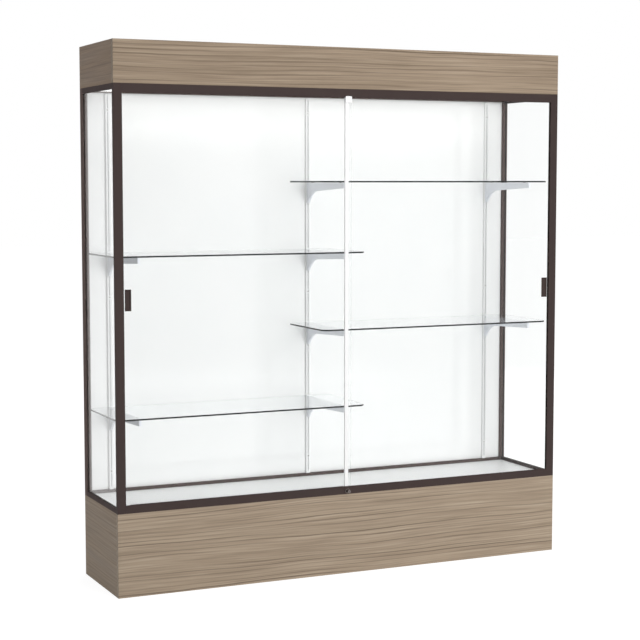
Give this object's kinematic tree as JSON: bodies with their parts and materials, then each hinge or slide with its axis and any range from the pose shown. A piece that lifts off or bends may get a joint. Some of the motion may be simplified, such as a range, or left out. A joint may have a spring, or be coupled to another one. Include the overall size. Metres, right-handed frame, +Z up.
{
  "type": "lighted display case",
  "caption": "Free-standing glazed display case on a wood-grain base, with sliding glass doors, staggered glass shelves on wall standards, and a lighted wood-grain header.",
  "frame": {"origin": "on the floor, under the middle of the case's width and depth", "axes": "+X to the right seen from the front, +Y to the back, +Z up"},
  "size_m": [1.8288, 0.4254, 1.9812],
  "materials": {
    "laminate": "satin wood-grain laminate",
    "raw_board": "raw particle board",
    "bronze_frame": "dark bronze anodised",
    "clear_glass": "clear toughened glass",
    "white_panel": "gloss white laminate",
    "white_metal": "white powder coat",
    "grey_metal": "satin pale grey paint",
    "white_plastic": "white moulded plastic",
    "frosted_plastic": "opal diffuser sheet",
    "nylon": "natural nylon",
    "black_plastic": "black moulded plastic",
    "rubber": "black rubber",
    "plated_steel": "nickel plated"
  },
  "bodies": {
    "case": {"base_front_panel": "laminate", "base_end_panels": "laminate", "base_rear_panel": "laminate", "header_front_panel": "laminate", "header_end_panels": "laminate", "header_rear_panel": "laminate", "header_top_panel": "laminate", "base_top_panel": "raw_board", "base_centre_rib": "raw_board", "base_corner_blocks": "raw_board", "front_posts": "bronze_frame", "rear_posts": "bronze_frame", "bottom_front_rail": "bronze_frame", "top_front_rail": "bronze_frame", "bottom_rear_rail": "bronze_frame", "top_rear_rail": "bronze_frame", "bottom_end_rails": "bronze_frame", "top_end_rails": "bronze_frame", "end_glass_panes": "clear_glass", "left_lower_shelf": "clear_glass", "left_upper_shelf": "clear_glass", "right_lower_shelf": "clear_glass", "right_upper_shelf": "clear_glass", "back_panel": "white_panel", "display_floor": "white_panel", "shelf_standards": "white_metal", "led_housing": "white_metal", "left_lower_brackets": "grey_metal", "left_upper_brackets": "grey_metal", "right_lower_brackets": "grey_metal", "right_upper_brackets": "grey_metal", "ceiling_diffuser": "frosted_plastic", "led_lens": "frosted_plastic", "power_inlet": "black_plastic", "led_driver": "black_plastic", "end_glass_gaskets": "rubber", "shelf_pads": "rubber", "lamp_wiring": "rubber", "frame_screws": "plated_steel", "standard_screws": "plated_steel", "lock_housing": "plated_steel"},
    "left_door": {"left_door_glass": "clear_glass", "left_door_shoe": "bronze_frame", "left_door_pull": "bronze_frame"},
    "right_door": {"right_door_glass": "clear_glass", "right_door_shoe": "bronze_frame", "right_door_pull": "bronze_frame", "right_door_edge_strip": "white_plastic", "right_door_top_guide": "white_plastic"},
    "left_inner_roller": {"left_inner_roller": "nylon"},
    "left_outer_roller": {"left_outer_roller": "nylon"},
    "right_inner_roller": {"right_inner_roller": "nylon"},
    "right_outer_roller": {"right_outer_roller": "nylon"},
    "lock_plunger": {"lock_plunger": "plated_steel"},
    "lock_key_plug": {"lock_key_plug": "plated_steel"},
    "switch_rocker": {"switch_rocker": "black_plastic"},
    "foot_front_left": {"foot_front_left": "plated_steel"},
    "foot_front_right": {"foot_front_right": "plated_steel"},
    "foot_rear_left": {"foot_rear_left": "plated_steel"},
    "foot_rear_right": {"foot_rear_right": "plated_steel"}
  },
  "joints": [
    {"name": "left_door_slide", "type": "slide", "parent": "case", "child": "left_door", "axis": [1, 0, 0], "range_m": [0, 0.86]},
    {"name": "right_door_slide", "type": "slide", "parent": "case", "child": "right_door", "axis": [1, 0, 0], "range_m": [-0.86, 0]},
    {"name": "left_inner_roller_spin", "type": "hinge", "parent": "left_door", "child": "left_inner_roller", "pos_m": [-0.105, -0.1832, 0.3151], "axis": [0, 1, 0], "range_deg": [-10, 9310]},
    {"name": "left_outer_roller_spin", "type": "hinge", "parent": "left_door", "child": "left_outer_roller", "pos_m": [-0.77, -0.1832, 0.3151], "axis": [0, 1, 0], "range_deg": [-10, 9310]},
    {"name": "right_inner_roller_spin", "type": "hinge", "parent": "right_door", "child": "right_inner_roller", "pos_m": [0.09, -0.1952, 0.3151], "axis": [0, 1, 0], "range_deg": [-9310, 10]},
    {"name": "right_outer_roller_spin", "type": "hinge", "parent": "right_door", "child": "right_outer_roller", "pos_m": [0.755, -0.1952, 0.3151], "axis": [0, 1, 0], "range_deg": [-9310, 10]},
    {"name": "lock_push", "type": "slide", "parent": "case", "child": "lock_plunger", "axis": [0, 1, 0], "range_m": [0, 0.015], "stiffness_N_per_m": 120},
    {"name": "key_turn", "type": "hinge", "parent": "lock_plunger", "child": "lock_key_plug", "pos_m": [-0.0075, -0.2222, 0.317], "axis": [0, 1, 0], "range_deg": [0, 90]},
    {"name": "switch_rock", "type": "hinge", "parent": "case", "child": "switch_rocker", "pos_m": [0.6145, 0.1972, 1.896], "axis": [1, 0, 0], "range_deg": [0, 16]},
    {"name": "front_left_foot_screw", "type": "slide", "parent": "case", "child": "foot_front_left", "axis": [0, 0, -1], "range_m": [0, 0.02]},
    {"name": "front_right_foot_screw", "type": "slide", "parent": "case", "child": "foot_front_right", "axis": [0, 0, -1], "range_m": [0, 0.02]},
    {"name": "rear_left_foot_screw", "type": "slide", "parent": "case", "child": "foot_rear_left", "axis": [0, 0, -1], "range_m": [0, 0.02]},
    {"name": "rear_right_foot_screw", "type": "slide", "parent": "case", "child": "foot_rear_right", "axis": [0, 0, -1], "range_m": [0, 0.02]}
  ],
  "couplings": [
    {"joint": "left_inner_roller_spin", "follows": "left_door_slide", "rad_per_m": 188.68},
    {"joint": "left_outer_roller_spin", "follows": "left_door_slide", "rad_per_m": 188.68},
    {"joint": "right_inner_roller_spin", "follows": "right_door_slide", "rad_per_m": 188.68},
    {"joint": "right_outer_roller_spin", "follows": "right_door_slide", "rad_per_m": 188.68}
  ]
}
